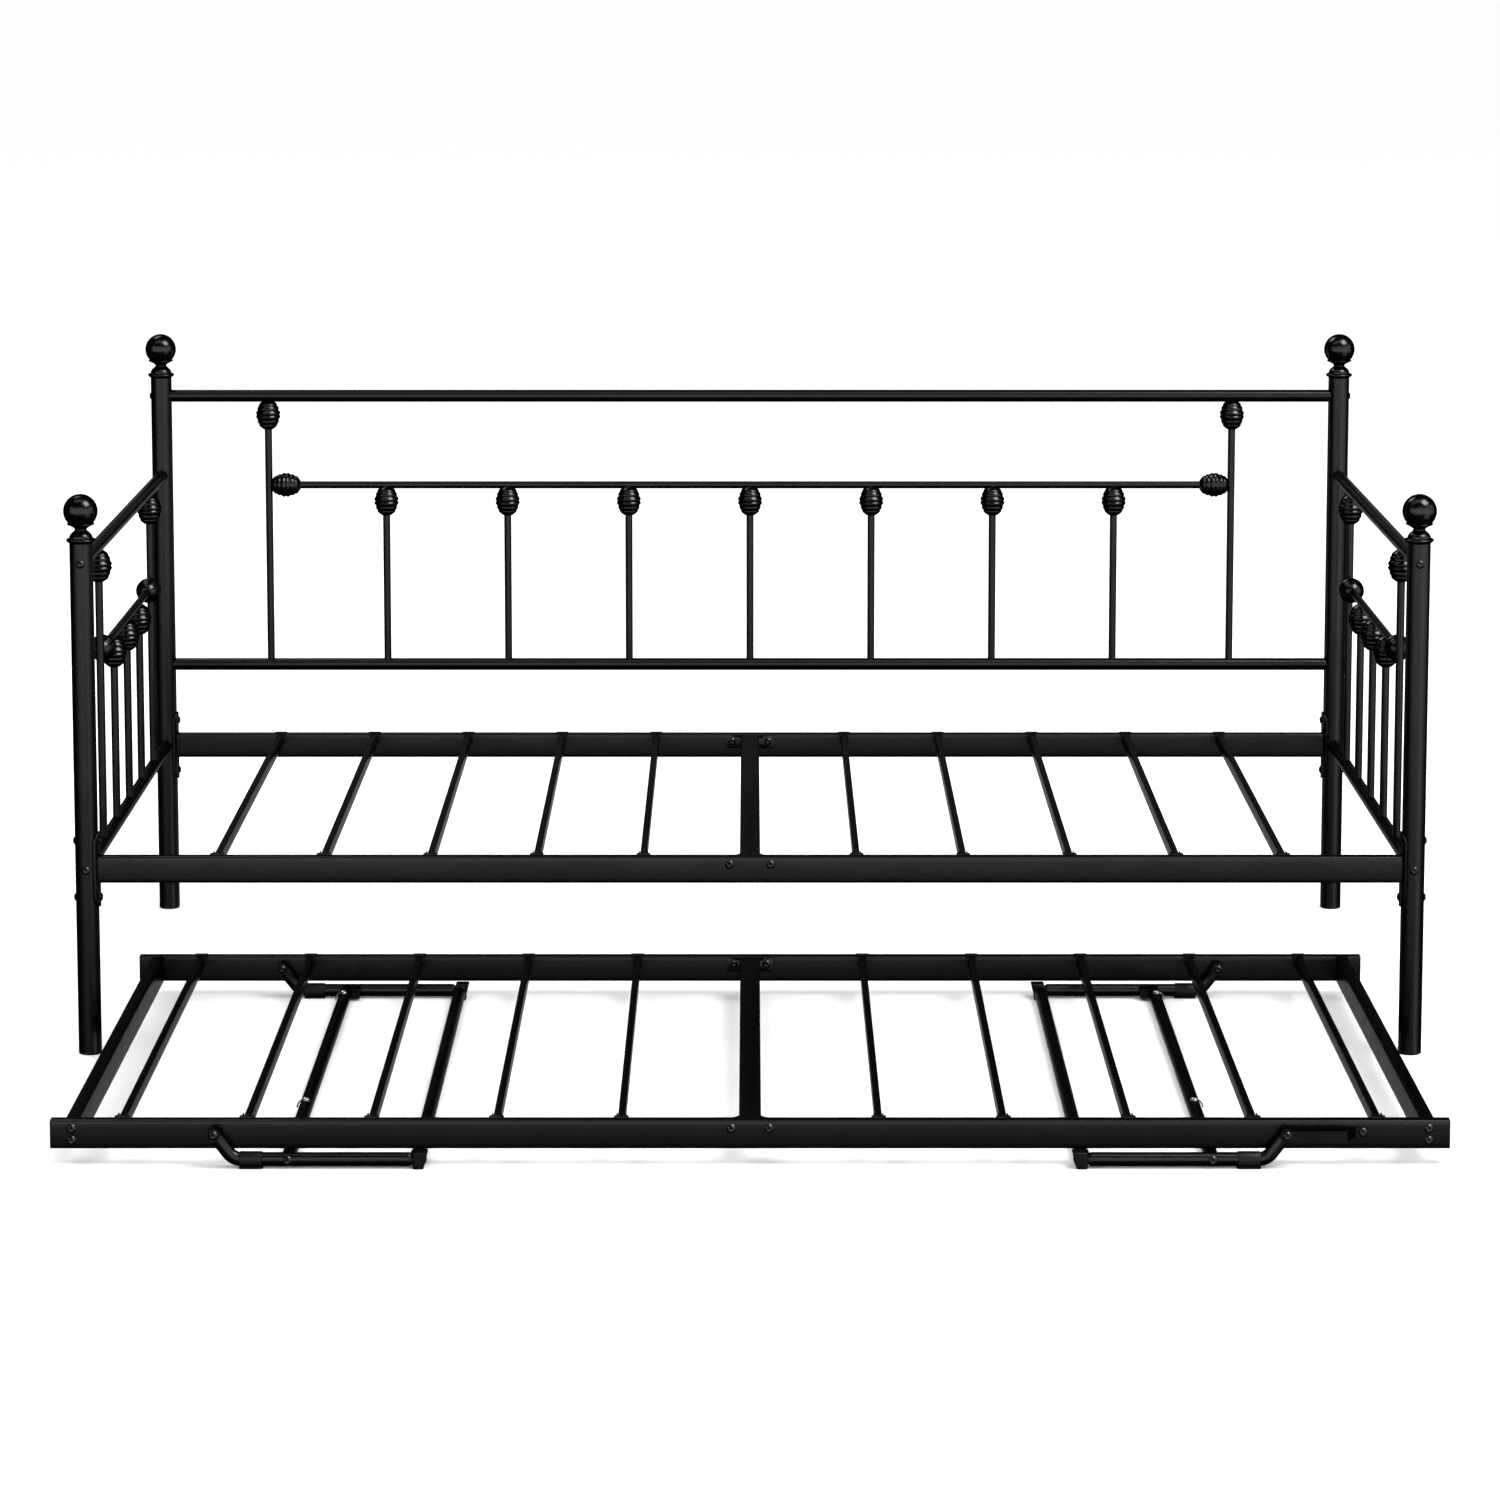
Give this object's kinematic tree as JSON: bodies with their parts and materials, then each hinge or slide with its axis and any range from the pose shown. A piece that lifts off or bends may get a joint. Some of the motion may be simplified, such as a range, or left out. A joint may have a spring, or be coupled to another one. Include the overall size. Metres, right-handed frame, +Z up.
{
  "type": "trundle bed",
  "caption": "Black metal daybed with ball-topped posts and spindle back and sides, over a slatted trundle frame that slides out and stands on folding legs.",
  "frame": {"origin": "on the floor, under the middle of the whole outline with the trundle drawn out as shown", "axes": "+Z up, +X to the right seen from the front, +Y towards the backrest, -Y the side the trundle slides out of"},
  "size_m": [1.99, 1.6741, 0.962],
  "materials": {
    "black_tube": "satin powder coat",
    "gloss_casting": "glossy powder coat over cast metal",
    "black_plastic": "moulded, fine matt",
    "black_fastener": "black oxide bolt head",
    "bright_pin": "bright zinc plate"
  },
  "bodies": {
    "daybed": {"backrest_bottom_rail": "black_tube", "backrest_castings": "gloss_casting", "backrest_middle_rod": "black_tube", "backrest_side_rods": "black_tube", "backrest_spindles": "black_tube", "backrest_top_rail": "black_tube", "bracket_bolts": "black_fastener", "bracket_cap_nuts": "black_fastener", "deck_beam_bolts": "black_fastener", "deck_centre_beam": "black_tube", "deck_front_rail": "black_tube", "deck_rear_rail": "black_tube", "deck_slat_clips": "black_plastic", "deck_slats": "black_tube", "frame_bolts": "black_fastener", "front_finials": "gloss_casting", "front_left_post": "black_tube", "front_right_post": "black_tube", "left_arm_rail": "black_tube", "left_castings": "gloss_casting", "left_lower_rail": "black_tube", "left_middle_rod": "black_tube", "left_spindles": "black_tube", "post_foot_caps": "black_plastic", "rail_brackets": "black_tube", "rear_finials": "gloss_casting", "rear_left_post": "black_tube", "rear_right_post": "black_tube", "right_arm_rail": "black_tube", "right_castings": "gloss_casting", "right_lower_rail": "black_tube", "right_middle_rod": "black_tube", "right_spindles": "black_tube"},
    "trundle_frame": {"leg_pivot_bolts": "black_fastener", "pivot_strap": "black_tube", "trundle_centre_beam": "black_tube", "trundle_end_caps": "black_plastic", "trundle_frame_bolts": "black_fastener", "trundle_front_rail": "black_tube", "trundle_left_end_rail": "black_tube", "trundle_rear_rail": "black_tube", "trundle_right_end_rail": "black_tube", "trundle_slat_clips": "black_plastic", "trundle_slats": "black_tube"},
    "left_leg": {"left_leg_brace_bar": "black_tube", "left_leg_brace_bolts": "black_fastener", "left_leg_elbow_feet": "black_plastic", "left_leg_foot_bar": "black_tube", "left_leg_front_tube": "black_tube", "left_leg_lock_pins": "bright_pin", "left_leg_pads": "black_plastic", "left_leg_rear_tube": "black_tube"},
    "right_leg": {"right_leg_brace_bar": "black_tube", "right_leg_brace_bolts": "black_fastener", "right_leg_elbow_feet": "black_plastic", "right_leg_foot_bar": "black_tube", "right_leg_front_tube": "black_tube", "right_leg_lock_pins": "bright_pin", "right_leg_pads": "black_plastic", "right_leg_rear_tube": "black_tube"}
  },
  "joints": [
    {"name": "trundle_slide", "type": "slide", "parent": "daybed", "child": "trundle_frame", "axis": [0, 1, 0], "range_m": [-0.42, 0.62]},
    {"name": "left_leg_fold", "type": "hinge", "parent": "trundle_frame", "child": "left_leg", "pos_m": [-0.72, -0.31687, 0.046], "axis": [0, 1, 0], "range_deg": [0, 90]},
    {"name": "right_leg_fold", "type": "hinge", "parent": "trundle_frame", "child": "right_leg", "pos_m": [0.72, -0.31687, 0.046], "axis": [0, -1, 0], "range_deg": [0, 90]}
  ]
}
